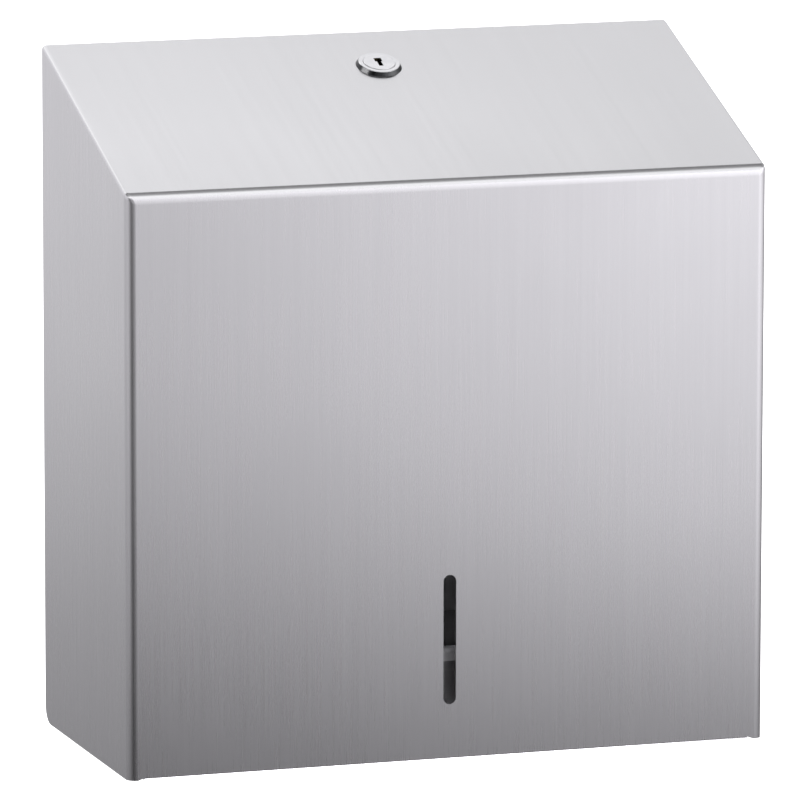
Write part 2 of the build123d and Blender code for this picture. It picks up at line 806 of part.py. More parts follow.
def main():
    os.makedirs("parts", exist_ok=True)
    write("cover", make_cover())
    write("back_plate", make_back_plate())
    write("towel_tray", make_tray())
    write("tray_screws", pan_screws(tray_screw_places(), plate_front_y - tray_sheet))
    write("cover_buffers", make_buffers())
    for name, side in sides.items():
        write(f"{name}_towel_guide", make_guide(side))
        guide_seat = plate_front_y - guide_sheet
        write(f"{name}_guide_screws", pan_screws(guide_screw_places(side), guide_seat))
        write(f"{name}_hinge_bush", make_bush(side))
        write(f"{name}_hinge_stud", make_hinge_stud(side))
        write(f"{name}_hinge_clip", make_clip(side))
        write(f"{name}_stop_stud", make_stop_stud(side))
    write("lock_housing", make_lock_housing())
    write("lock_washer", make_lock_washer())
    write("lock_nut", make_lock_nut())
    write("lock_plug", make_lock_plug())
    write("lock_wafers", make_wafers())
    write("lock_cam", make_cam())
    write("cam_plate", make_cam_plate())
    write("cam_spring_washer", make_spring_washer())
    write("cam_screw", make_cam_screw())
    write("lock_keeper", make_keeper())
    write("keeper_screws", pan_screws(keeper_screw_places(), plate_front_y - keeper_sheet))


main()
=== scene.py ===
import json
import math

import bmesh
import bpy
from mathutils import Euler, Matrix, Vector


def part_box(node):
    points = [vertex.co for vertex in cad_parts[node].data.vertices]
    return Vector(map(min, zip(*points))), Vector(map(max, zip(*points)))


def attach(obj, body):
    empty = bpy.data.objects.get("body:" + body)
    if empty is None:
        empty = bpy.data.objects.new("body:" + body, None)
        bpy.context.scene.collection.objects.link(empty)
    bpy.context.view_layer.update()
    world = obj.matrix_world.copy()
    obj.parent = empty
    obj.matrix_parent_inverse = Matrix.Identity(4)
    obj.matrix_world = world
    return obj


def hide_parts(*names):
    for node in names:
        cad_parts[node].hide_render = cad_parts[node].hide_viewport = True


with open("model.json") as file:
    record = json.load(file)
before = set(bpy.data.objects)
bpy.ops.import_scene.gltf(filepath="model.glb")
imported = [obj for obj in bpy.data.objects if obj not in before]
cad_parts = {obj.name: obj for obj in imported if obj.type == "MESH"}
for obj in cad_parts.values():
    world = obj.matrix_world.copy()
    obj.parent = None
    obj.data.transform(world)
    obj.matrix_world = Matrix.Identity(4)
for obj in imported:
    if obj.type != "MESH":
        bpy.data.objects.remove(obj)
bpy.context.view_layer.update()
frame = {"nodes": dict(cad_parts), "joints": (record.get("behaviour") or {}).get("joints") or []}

# A wall-hung folded towel dispenser in brushed stainless sheet, in metres
scene = bpy.context.scene
joints = {joint["name"]: joint for joint in frame["joints"]}
turnAxis = Vector(joints["lock_turn"]["axis"])  # square to the sloping top, into the casing
lockAxis = -turnAxis.normalized()
slopeTurn = math.atan2(turnAxis.y, -turnAxis.z)
print("frame loaded")


# Small helpers for meshes

def newPiece(name, mesh, materials):
    piece = bpy.data.objects.new(name, mesh)
    scene.collection.objects.link(piece)
    piece.data.materials.clear()
    for material in materials:
        piece.data.materials.append(material)
    return piece


def meshFrom(name, vertices, faces):
    mesh = bpy.data.meshes.new(name)
    mesh.from_pydata([tuple(v) for v in vertices], [], faces)
    mesh.update()
    return mesh


def addModifier(piece, kind, **settings):
    modifier = piece.modifiers.new(kind.lower(), kind)
    for key, value in settings.items():
        setattr(modifier, key, value)


def bakeModifiers(piece):
    # The evaluated mesh takes the place of the plain one, and the modifiers go
    view = bpy.context.evaluated_depsgraph_get()
    view.update()
    done = bpy.data.meshes.new_from_object(piece.evaluated_get(view), depsgraph=view)
    piece.modifiers.clear()
    old = piece.data
    piece.data = done
    done.name = piece.name
    bpy.data.meshes.remove(old)


def smoothByAngle(piece, degrees):
    # Smooth faces, with the edges sharper than the angle kept hard
    mesh = piece.data
    work = bmesh.new()
    work.from_mesh(mesh)
    limit = math.radians(degrees)
    for face in work.faces:
        face.smooth = True
    for edge in work.edges:
        edge.smooth = len(edge.link_faces) == 2 and edge.calc_face_angle(math.pi) < limit
    work.to_mesh(mesh)
    work.free()
    addModifier(piece, "WEIGHTED_NORMAL", keep_sharp=True, weight=100)
    bakeModifiers(piece)


def cutAway(piece, cutter):
    addModifier(piece, "BOOLEAN", operation="DIFFERENCE", solver="EXACT", object=cutter)
    bakeModifiers(piece)
    bpy.data.objects.remove(cutter)


def prism(name, outline, depth, place):
    # An outline on the local XY plane, drawn out along local Z on both sides
    count = len(outline)
    vertices = [place @ Vector((x, y, h)) for h in (-depth / 2, depth / 2) for x, y in outline]
    faces = [tuple(reversed(range(count))), tuple(range(count, 2 * count))]
    faces += [(i, (i + 1) % count, (i + 1) % count + count, i + count) for i in range(count)]
    return newPiece(name, meshFrom(name, vertices, faces), [])


def arcPoints(centre, radius, start, end, steps):
    turns = [math.radians(start + (end - start) * i / steps) for i in range(steps + 1)]
    return [(centre[0] + radius * math.cos(a), centre[1] + radius * math.sin(a)) for a in turns]


def stadium(width, length, steps):
    # A slot outline that runs along local Y
    reach = (length - width) / 2
    top = arcPoints((0, reach), width / 2, 0, 180, steps)
    return top + arcPoints((0, -reach), width / 2, 180, 360, steps)


def lathe(name, profile, steps, place):
    # A closed (radius, height) profile, clear of the axis, turned about local Z
    turns = [2 * math.pi * i / steps for i in range(steps)]
    vertices = [place @ Vector((radius * math.cos(a), radius * math.sin(a), height))
                for radius, height in profile for a in turns]
    faces = []
    for k in range(len(profile)):
        ring, after = k * steps, (k + 1) % len(profile) * steps
        for i in range(steps):
            j = (i + 1) % steps
            faces.append((ring + i, after + i, after + j, ring + j))
    piece = newPiece(name, meshFrom(name, vertices, faces), [])
    outwards(piece)
    return piece


def outwards(piece, weld=1e-7):
    # Every face looks out of the solid
    work = bmesh.new()
    work.from_mesh(piece.data)
    bmesh.ops.remove_doubles(work, verts=work.verts, dist=weld)
    bmesh.ops.recalc_face_normals(work, faces=work.faces)
    work.to_mesh(piece.data)
    work.free()


# Node trees, for materials and for Geometry Nodes

def feed(tree, socket, value):
    # A socket is joined to another one, or gets a plain value
    if isinstance(value, bpy.types.NodeSocket):
        tree.links.new(value, socket)
    else:
        socket.default_value = value


def addNode(tree, kind, inputs=None, **settings):
    node = tree.nodes.new(kind)
    for key, value in settings.items():
        setattr(node, key, value)
    for key, value in (inputs or {}).items():
        feed(tree, node.inputs[key], value)
    return node


# Materials

bumpDepth = {"metal": 0.0001, "plastic": 0.0002}
streakMix = {"fine": 0.6, "band": 0.4, "start": 0.35, "end": 0.65}
handlingMarks = {"stretch": (900, 60, 700), "start": 0.5, "end": 0.75}


class Weave:
    # A material's node tree, with a short way to add the nodes that the finishes share
    def __init__(self, name):
        self.material = bpy.data.materials.new(name)
        self.material.use_nodes = True
        self.tree = self.material.node_tree
        self.tree.nodes.clear()
        self.shader = self.add("ShaderNodeBsdfPrincipled")
        self.surface = self.add("ShaderNodeOutputMaterial").inputs["Surface"]
        self.join(self.shader.outputs["BSDF"], self.surface)
        self.place = self.add("ShaderNodeTexCoord").outputs["Object"]

    def add(self, kind, inputs=None, **settings):
        return addNode(self.tree, kind, inputs, **settings)

    def join(self, source, target):
        self.tree.links.new(source, target)

    def stretched(self, scale, source=None):
        inputs = {"Vector": source or self.place, "Scale": scale}
        return self.add("ShaderNodeMapping", inputs).outputs["Vector"]

    def ownMap(self, name):
        return self.add("ShaderNodeUVMap", uv_map=name).outputs["UV"]

    def noise(self, vector, scale=1.0, detail=2.0, roughness=0.5):
        inputs = {"Vector": vector, "Scale": scale, "Detail": detail, "Roughness": roughness}
        return self.add("ShaderNodeTexNoise", inputs).outputs["Fac"]

    def spread(self, value, low, high, start=0.3, end=0.7):
        inputs = {"Value": value, "From Min": start, "From Max": end, "To Min": low, "To Max": high}
        return self.add("ShaderNodeMapRange", inputs).outputs["Result"]

    def maths(self, first, second, operation="ADD"):
        return self.add("ShaderNodeMath", {0: first, 1: second}, operation=operation).outputs[0]

    def split(self, vector):
        return self.add("ShaderNodeSeparateXYZ", {0: vector}).outputs

    def blend(self, factor, first, second):
        node = self.add("ShaderNodeMix", {"Factor": factor}, data_type="RGBA")
        for socket, colour in zip([s for s in node.inputs if s.type == "RGBA"], (first, second)):
            made = isinstance(colour, bpy.types.NodeSocket)
            feed(self.tree, socket, colour if made else (*colour, 1))
        return [s for s in node.outputs if s.type == "RGBA"][0]

    def ramp(self, value, stops):
        node = self.add("ShaderNodeValToRGB", {"Fac": value})
        node.color_ramp.interpolation = "EASE"
        elements = node.color_ramp.elements
        while len(elements) < len(stops):
            elements.new(0.5)
        for element, (place, level) in zip(elements, stops):
            element.position = place
            element.color = (level, level, level, 1)
        return node.outputs["Color"]

    def bump(self, height, strength, distance):
        inputs = {"Height": height, "Strength": strength, "Distance": distance}
        return self.add("ShaderNodeBump", inputs).outputs["Normal"]

    def shade(self, **values):
        for key, value in values.items():
            feed(self.tree, self.shader.inputs[key.replace("_", " ")], value)
        return self.material


def paintedLipShare(weave, paintedLipHighlight):
    # 1 above a foot and before a rear: a painted highlight, the bright band of light on the lip's
    #                                   rolled edge
    split = weave.split(weave.place)
    above = weave.spread(split["Z"], 0.0, 1.0, paintedLipHighlight["foot"], paintedLipHighlight["foot"] + paintedLipHighlight["rise"])
    before = weave.spread(split["Y"], 1.0, 0.0, paintedLipHighlight["rear"] - paintedLipHighlight["fade"], paintedLipHighlight["rear"])
    return weave.maths(above, before, "MULTIPLY")


def brushedMetal(name, look):
    # Fine scratches and wider bands along the grain, over slow cloudy variation
    weave = Weave(name)
    source = weave.ownMap(look["map"]) if look.get("map") else weave.place
    fine = weave.noise(weave.stretched(look["fine"], source), detail=3.0, roughness=0.65)
    band = weave.noise(weave.stretched(look["band"], source))
    cloud = weave.noise(weave.place, look["cloud"], detail=3.0)
    finePart = weave.maths(fine, streakMix["fine"], "MULTIPLY")
    bandPart = weave.maths(band, streakMix["band"], "MULTIPLY")
    streak = weave.maths(finePart, bandPart)
    share = weave.spread(streak, 0.0, 1.0, streakMix["start"], streakMix["end"])
    tone = weave.blend(share, look["dark"], look["light"])
    rough = weave.spread(fine, *look["roughness"])
    rough = weave.maths(rough, weave.spread(cloud, -look["smudge"], look["smudge"]))
    # The lip's brighter tone is a painted highlight, for the band of light on its rolled edge
    if look.get("paintedLipHighlight"):
        paintedLipHighlight = look["paintedLipHighlight"]
        worn = paintedLipShare(weave, paintedLipHighlight)
        tone = weave.blend(worn, tone, paintedLipHighlight["tone"])
        rough = weave.maths(rough, weave.maths(worn, paintedLipHighlight["roughness"], "MULTIPLY"))
    values = {
        "Base_Color": tone,
        "Metallic": 1.0,
        "Roughness": rough,
        "Anisotropic": look.get("anisotropy", 0.0),
        "Normal": weave.bump(fine, look["bump"], bumpDepth["metal"]),
    }
    if look.get("map"):
        tangent = weave.add("ShaderNodeTangent", direction_type="UV_MAP", uv_map=look["map"])
        values["Tangent"] = tangent.outputs["Tangent"]
    return weave.shade(**values)


def platedMetal(name, look):
    # Smooth plating with small crystals and a few handling marks
    weave = Weave(name)
    grains = weave.add("ShaderNodeTexVoronoi", {"Vector": weave.place, "Scale": look["crystal"]})
    cloud = weave.noise(weave.place, look["cloud"], detail=4.0, roughness=0.6)
    marks = weave.noise(weave.stretched(handlingMarks["stretch"]))
    marked = weave.spread(marks, 0.0, look["marks"], handlingMarks["start"], handlingMarks["end"])
    tone = weave.blend(weave.spread(cloud, 0.0, 1.0), look["dark"], look["light"])
    rough = weave.spread(grains.outputs["Distance"], *look["roughness"], 0.0, 1.0)
    return weave.shade(
        Base_Color=tone,
        Metallic=1.0,
        Roughness=weave.maths(rough, marked),
        Normal=weave.bump(cloud, look["bump"], bumpDepth["metal"]),
    )


def mouldedPlastic(name, look):
    # A fine moulded texture with slight mottling
    weave = Weave(name)
    skin = weave.noise(weave.place, look["skin"], detail=3.0, roughness=0.6)
    cloud = weave.noise(weave.place, look["cloud"])
    tone = weave.blend(weave.spread(cloud, 0.0, 1.0), look["dark"], look["light"])
    return weave.shade(
        Base_Color=tone,
        Metallic=0.0,
        Roughness=weave.spread(skin, *look["roughness"]),
        Normal=weave.bump(skin, look["bump"], bumpDepth["plastic"]),
    )


steelLooks = {
    "frontSteel": {
        "dark": (0.69, 0.68, 0.705), "light": (0.725, 0.715, 0.74), "fine": (200, 1.4, 1),
        "band": (36, 0.5, 1), "cloud": 9.0, "roughness": (0.26, 0.31), "smudge": 0.015,
        "bump": 0.02, "anisotropy": 0.5, "map": "grain",
    },
    "topSteel": {
        "dark": (0.7, 0.7, 0.71), "light": (0.73, 0.73, 0.74), "fine": (240, 1.2, 1),
        "band": (30, 0.5, 1), "cloud": 7.0, "roughness": (0.2, 0.25), "smudge": 0.02,
        "bump": 0.01, "anisotropy": 0.3, "map": "grain",
    },
    "plateSteel": {
        "dark": (0.66, 0.665, 0.675), "light": (0.73, 0.735, 0.745), "fine": (1400, 1400, 14),
        "band": (260, 260, 9), "cloud": 22.0, "roughness": (0.34, 0.42), "smudge": 0.03,
        "bump": 0.05,
    },
    # The tray's dark tone is painted shade, for the dark under its lip; its lip's bright band is a
    # painted highlight
    "traySteel": {
        "dark": (0.34, 0.34, 0.345), "light": (0.39, 0.39, 0.395), "fine": (12, 1500, 1500),
        "band": (6, 260, 260), "cloud": 14.0, "roughness": (0.3, 0.4), "smudge": 0.04, "bump": 0.05,
        "paintedLipHighlight": {"tone": (0.7, 0.7, 0.71), "foot": -0.1131, "rise": 0.0004, "rear": -0.117,
                   "fade": 0.001, "roughness": 0.2},
    },
    "guideSteel": {
        "dark": (0.5, 0.5, 0.51), "light": (0.6, 0.6, 0.61), "fine": (1500, 1500, 12),
        "band": (260, 260, 6), "cloud": 18.0, "roughness": (0.28, 0.4), "smudge": 0.04,
        "bump": 0.08,
    },
    "studSteel": {
        "dark": (0.42, 0.42, 0.42), "light": (0.6, 0.6, 0.6), "fine": (9000, 400, 400),
        "band": (2500, 300, 300), "cloud": 90.0, "roughness": (0.22, 0.34), "smudge": 0.03,
        "bump": 0.12,
    },
    "springSteel": {
        "dark": (0.13, 0.13, 0.15), "light": (0.26, 0.25, 0.25), "fine": (3000, 700, 700),
        "band": (900, 500, 500), "cloud": 120.0, "roughness": (0.28, 0.42), "smudge": 0.05,
        "bump": 0.08,
    },
}
platedLooks = {
    "zincPlate": {
        "dark": (0.55, 0.57, 0.6), "light": (0.7, 0.71, 0.72), "crystal": 1800.0, "cloud": 150.0,
        "roughness": (0.16, 0.34), "marks": 0.12, "bump": 0.08,
    },
    "camPlate": {
        "dark": (0.5, 0.47, 0.4), "light": (0.68, 0.63, 0.52), "crystal": 1500.0, "cloud": 120.0,
        "roughness": (0.2, 0.36), "marks": 0.14, "bump": 0.1,
    },
    "lockChrome": {
        "dark": (0.74, 0.745, 0.76), "light": (0.82, 0.82, 0.83), "crystal": 2500.0, "cloud": 240.0,
        "roughness": (0.05, 0.11), "marks": 0.05, "bump": 0.02,
    },
    "waferBrass": {
        "dark": (0.5, 0.36, 0.14), "light": (0.72, 0.56, 0.27), "crystal": 2200.0, "cloud": 260.0,
        "roughness": (0.22, 0.36), "marks": 0.1, "bump": 0.1,
    },
}
plasticLooks = {
    "nylon": {
        "dark": (0.72, 0.71, 0.64), "light": (0.82, 0.81, 0.76), "skin": 1600.0, "cloud": 130.0,
        "roughness": (0.42, 0.56), "bump": 0.12,
    },
    "blackRubber": {
        "dark": (0.018, 0.018, 0.019), "light": (0.04, 0.04, 0.042), "skin": 1900.0, "cloud": 220.0,
        "roughness": (0.6, 0.82), "bump": 0.3,
    },
}
# The tones round the head are a painted reflection: mostly dark, with a painted bright gap near
# 0.33 and a fainter one near 0.58
flankLook = {
    "tones": ((0.0, 0.06), (0.30, 0.05), (0.325, 0.5), (0.36, 0.55), (0.385, 0.06), (0.5, 0.035),
              (0.58, 0.11), (0.63, 0.05), (0.72, 0.04), (1.0, 0.06)),
    "worn": (0.12, 0.125, 0.14),
    "streaks": (90.0, 3.0, 1.0),
    "sway": 0.01,
    "roughness": (0.1, 0.2),
    "bump": 0.02,
}


def paintedReflectionFlank(name, look):
    # Dark chrome with a painted reflection: its tone goes round the head, dark with painted light
    # gaps, as a polished cone shows a room
    weave = Weave(name)
    around = weave.ownMap("turn")
    streak = weave.noise(weave.stretched(look["streaks"], around), detail=3.0, roughness=0.6)
    sway = weave.spread(streak, -look["sway"], look["sway"])
    ramp = weave.ramp(weave.maths(weave.split(around)["X"], sway), look["tones"])
    return weave.shade(
        Base_Color=weave.blend(weave.spread(streak, 0.0, 0.4), ramp, look["worn"]),
        Metallic=1.0,
        Roughness=weave.spread(streak, *look["roughness"]),
        Normal=weave.bump(streak, look["bump"], bumpDepth["metal"]),
    )


finishes = {name: brushedMetal(name, look) for name, look in steelLooks.items()}
finishes["lockFlank"] = paintedReflectionFlank("lockFlank", flankLook)
finishes.update({name: platedMetal(name, look) for name, look in platedLooks.items()})
finishes.update({name: mouldedPlastic(name, look) for name, look in plasticLooks.items()})
print("materials made")


# The cover: one bent sheet with front, sides, sloping top and a return under the front

coverShape = {
    "frontHeight": 0.262,
    "sheet": 0.001,
    "bendRadius": 0.0055,
    "cornerRadius": 0.0045,
    "sideRadius": 0.002,
    "foldRadius": 0.0011,
    "bendSteps": 10,
    "returnDepth": 0.012,
    "returnInset": 0.0075,
    "rearCornerRadius": 0.008,
    "rearCornerSteps": 6,
    "slotWidth": 0.006,
    "slotLength": 0.059,
    "slotFoot": 0.0254,
    "slotSteps": 20,
    "lockHole": 0.0162,
    "lockHoleFlats": 0.0144,
    "holeSteps": 24,
    "cutDepth": 0.01,
    "edgeRound": 0.00015,
    "sharpAngle": 50,
    "smoothAngle": 40,
    "lyingNormal": 0.5,  # more of a lying face's normal than this is upright
    "grainScale": 10,
}


def coverSurface(shape):
    low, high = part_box("cover")
    half, front, rear = high.x, low.y, high.y
    foot, crown = low.z, low.z + shape["frontHeight"]
    work = bmesh.new()
    weight = work.edges.layers.float.new("bevel_weight_edge")

    def at(x, y, z):
        return work.verts.new((x, y, z))

    def fold(first, second, radius):
        work.edges.get((first, second))[weight] = radius / shape["bendRadius"]

    r = shape["rearCornerRadius"]
    ends = {}
    for side in (-1, 1):
        corner = arcPoints((rear - r, foot + r), r, 0, -90, shape["rearCornerSteps"])
        ends[side] = {
            "arc": [at(side * half, y, z) for y, z in corner],
            "frontTop": at(side * half, front, crown),
            "frontFoot": at(side * half, front, foot),
            "rearTop": at(side * half, rear, high.z),
            "lip": at(side * (half - shape["returnInset"]), front, foot),
            "lipEnd": at(side * (half - shape["returnInset"]), front + shape["returnDepth"], foot),
        }
    left, right = ends[-1], ends[1]
    for end in (left, right):
        work.faces.new([end["rearTop"], *end["arc"], end["frontFoot"], end["frontTop"]])
    work.faces.new([left["frontFoot"], left["lip"], right["lip"], right["frontFoot"],
                    right["frontTop"], left["frontTop"]])
    work.faces.new([left["frontTop"], right["frontTop"], right["rearTop"], left["rearTop"]])
    work.faces.new([left["lip"], left["lipEnd"], right["lipEnd"], right["lip"]])
    # A circular bend across the blunt front fold needs a shorter setback than a square one
    turning = math.pi / 2 - slopeTurn
    fold(left["frontTop"], right["frontTop"], shape["bendRadius"] * math.tan(turning / 2))
    fold(left["lip"], right["lip"], shape["foldRadius"])
    for end in (left, right):
        fold(end["frontTop"], end["frontFoot"], shape["cornerRadius"])
        fold(end["frontTop"], end["rearTop"], shape["sideRadius"])
    middle = Vector((0, (front + rear) / 2, (foot + crown) / 2))
    work.normal_update()
    for face in work.faces:
        if face.normal.dot(face.calc_center_median() - middle) < 0:
            face.normal_flip()
    mesh = bpy.data.meshes.new("coverSheet")
    work.to_mesh(mesh)
    work.free()
    return mesh


def grainMap(piece, shape):
    # U runs across the grain and V along it, so that the brushing turns with each face
    mesh = piece.data
    layer = mesh.uv_layers.new(name="grain")
    up = Vector((0, 0, 1))
    slopeUp = Vector((0, math.cos(slopeTurn), math.sin(slopeTurn)))
    for face in mesh.polygons:
        along = slopeUp if abs(face.normal.z) > shape["lyingNormal"] else up
        along = (along - face.normal * along.dot(face.normal)).normalized()
        across = along.cross(face.normal)
        for loop in face.loop_indices:
            point = mesh.vertices[mesh.loops[loop].vertex_index].co
            layer.data[loop].uv = [point.dot(way) * shape["grainScale"] for way in (across, along)]
        face.material_index = 1 if face.normal.z > shape["lyingNormal"] else 0


def lockPlace(height=0.0):
    # The lock's own frame: Z out of the top along the lock's axis, Y up the slope
    across = Vector((1, 0, 0))
    turn = Matrix((across, lockAxis.cross(across), lockAxis)).transposed().to_4x4()
    origin = Vector(joints["lock_turn"]["pos_m"]) + lockAxis * height
    return Matrix.Translation(origin) @ turn


def doubleFlat(diameter, flats, steps):
    # A circle with two flats across local X
    reach = math.degrees(math.acos(flats / diameter))
    top = arcPoints((0, 0), diameter / 2, reach, 180 - reach, steps)
    return top + arcPoints((0, 0), diameter / 2, 180 + reach, 360 - reach, steps)


def makeCover(shape):
    steels = [finishes["frontSteel"], finishes["topSteel"]]
    cover = newPiece("coverSheet", coverSurface(shape), steels)
    addModifier(cover, "BEVEL", width=shape["bendRadius"], segments=shape["bendSteps"],
                limit_method="WEIGHT", offset_type="OFFSET", profile=0.5, use_clamp_overlap=False)
    addModifier(cover, "SOLIDIFY", thickness=shape["sheet"], offset=-1, use_even_offset=True,
                use_quality_normals=True)
    bakeModifiers(cover)
    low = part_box("cover")[0]
    slotMiddle = low.z + shape["slotFoot"] + shape["slotLength"] / 2
    upright = Euler((math.pi / 2, 0, 0)).to_matrix().to_4x4()
    slot = stadium(shape["slotWidth"], shape["slotLength"], shape["slotSteps"])
    slotPlace = Matrix.Translation((0, low.y, slotMiddle)) @ upright
    cutAway(cover, prism("slotCutter", slot, shape["cutDepth"], slotPlace))
    hole = doubleFlat(shape["lockHole"], shape["lockHoleFlats"], shape["holeSteps"])
    cutAway(cover, prism("holeCutter", hole, shape["cutDepth"], lockPlace()))
    addModifier(cover, "BEVEL", width=shape["edgeRound"], segments=2, limit_method="ANGLE",
                angle_limit=math.radians(shape["sharpAngle"]), use_clamp_overlap=True)
    bakeModifiers(cover)
    smoothByAngle(cover, shape["smoothAngle"])
    grainMap(cover, shape)
    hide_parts("cover")
    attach(cover, "cover")
    print("cover made", len(cover.data.polygons))


makeCover(coverShape)


# The cam lock's head and threaded barrel

lockShape = {
    "headDiameter": 0.0212,
    "faceDiameter": 0.0188,
    "headHeight": 0.0018,
    "rimRound": 0.0004,
    "rimSteps": 6,
    "footRound": (0.0001, 0.00015),
    "bodyDiameter": 0.016,
    "bodyFlats": 0.0142,
    "bodyLength": 0.019,
    "endBevel": 0.0005,
    "boreDiameter": 0.0126,
    "plugSeat": 0.0148,
    "plugSeatDepth": 0.0015,
    "seatBevel": 0.00015,
    "threadStart": 0.0012,
    "threadPitch": 0.0015,
    "threadDepth": 0.0004,
    # One turn of thread: shares of the pitch down, and of the depth in
    "threadForm": ((0.3, 0), (0.55, 1), (0.7, 1), (0.95, 0)),
    "threadEnd": 0.002,
    "flatCutDepth": 0.01,
    "flatCutSpare": 0.001,
    # A flank's face is higher than its foot, and less of its normal lies along the lock's axis
    "flankFoot": 1e-5,
    "flankLean": 0.63,
    "smoothAngle": 35,
    "steps": 144,
}


def turnMap(piece, shape):
    # U runs once around the lock's axis, starting up the slope, and V up the head
    mesh = piece.data
    inward = lockPlace().inverted()
    innerReach = shape["faceDiameter"] / 2 - shape["rimRound"]
    layer = mesh.uv_layers.new(name="turn")
    for face in mesh.polygons:
        places = [inward @ mesh.vertices[v].co for v in face.vertices]
        turns = [(math.atan2(-p.x, p.y) / (2 * math.pi)) % 1 for p in places]
        if max(turns) - min(turns) > 0.5:
            turns = [t + 1 if t < 0.5 else t for t in turns]
        for loop, turn, place in zip(face.loop_indices, turns, places):
            layer.data[loop].uv = (turn, place.z / shape["headHeight"])
        centre = inward @ face.center
        onFlank = centre.z > shape["flankFoot"] and math.hypot(centre.x, centre.y) > innerReach
        onFlank = onFlank and face.normal.dot(lockAxis) < shape["flankLean"]
        # The flank's faces take the material with the painted reflection
        face.material_index = 1 if onFlank else 0


def lockProfile(shape):
    # From the bore's foot up through the plug's seat, over the head and down the thread
    head, face = shape["headDiameter"] / 2, shape["faceDiameter"] / 2
    height, r = shape["headHeight"], shape["rimRound"]
    body, bore, seat = shape["bodyDiameter"] / 2, shape["boreDiameter"] / 2, shape["plugSeat"] / 2
    length, seatFloor = shape["bodyLength"], height - shape["plugSeatDepth"]
    footIn, footUp = shape["footRound"]
    # The rim's round runs from the flat face to the cone, and ends square to it
    lean = math.atan2(height, head - face)
    back = r * math.tan(lean / 2)
    leans = [lean * i / shape["rimSteps"] for i in range(shape["rimSteps"] + 1)]
    profile = [(bore, -length), (bore, seatFloor), (seat, seatFloor),
               (seat, height - shape["seatBevel"]), (seat + shape["seatBevel"], height)]
    profile += [(face - back + r * math.sin(a), height - r + r * math.cos(a)) for a in leans]
    profile += [(head - footIn, footUp), (head, 0.0), (body, 0.0), (body, -shape["threadStart"])]
    for n in range(int((length - shape["threadEnd"]) / shape["threadPitch"])):
        top = -shape["threadStart"] - n * shape["threadPitch"]
        for drop, inset in shape["threadForm"]:
            profile.append((body - inset * shape["threadDepth"], top - drop * shape["threadPitch"]))
    return profile + [(body, -length + shape["endBevel"]), (body - shape["endBevel"], -length)]


def makeLockHead(shape):
    lock = lathe("lockHead", lockProfile(shape), shape["steps"], lockPlace())
    reach, depth = shape["flatCutDepth"], shape["bodyLength"] + shape["flatCutSpare"]
    for side in (-1, 1):
        x0, x1 = side * shape["bodyFlats"] / 2, side * (shape["bodyFlats"] / 2 + reach)
        outline = [(x0, -reach), (x1, -reach), (x1, reach), (x0, reach)]
        if side < 0:
            outline.reverse()
        cutAway(lock, prism("flatCutter", outline, depth, lockPlace(-depth / 2)))
    lock.data.materials.clear()
    lock.data.materials.append(finishes["lockChrome"])
    lock.data.materials.append(finishes["lockFlank"])
    smoothByAngle(lock, shape["smoothAngle"])
    turnMap(lock, shape)
    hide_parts("lock_housing")
    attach(lock, "cover")
    print("lock made", len(lock.data.polygons))


makeLockHead(lockShape)


# Screws on the back plate, instanced by Geometry Nodes on their seats

screwShape = {
    # These become the tree's inputs
    "sizes": {
        "headDiameter": 0.008,
        "headHeight": 0.0024,
        "domeRadius": 0.0052,
        "shankDiameter": 0.004,
        "driveLength": 0.0044,
        "driveWidth": 0.0012,
        "driveDepth": 0.0013,
        "wallGap": 0.0002,
    },
    "headSteps": 40,
    "shankSteps": 24,
    "smoothAngle": 35,
    # Each node's screws: how many, and along which axis they stand in line
    "rows": {
        "tray_screws": (4, 0),
        "left_guide_screws": (2, 2),
        "right_guide_screws": (2, 2),
        "keeper_screws": (2, 2),
    },
}


def screwSeats(node, count, axis, sizes):
    # Seats in one line, found from the node's own box
    low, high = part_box(node)
    half = sizes["headDiameter"] / 2
    seats = []
    for i in range(count):
        seat = (low + high) / 2
        seat[axis] = low[axis] + half + (high[axis] - low[axis] - 2 * half) * i / (count - 1)
        seat.y = low.y + sizes["headHeight"]
        seats.append(seat)
    return seats


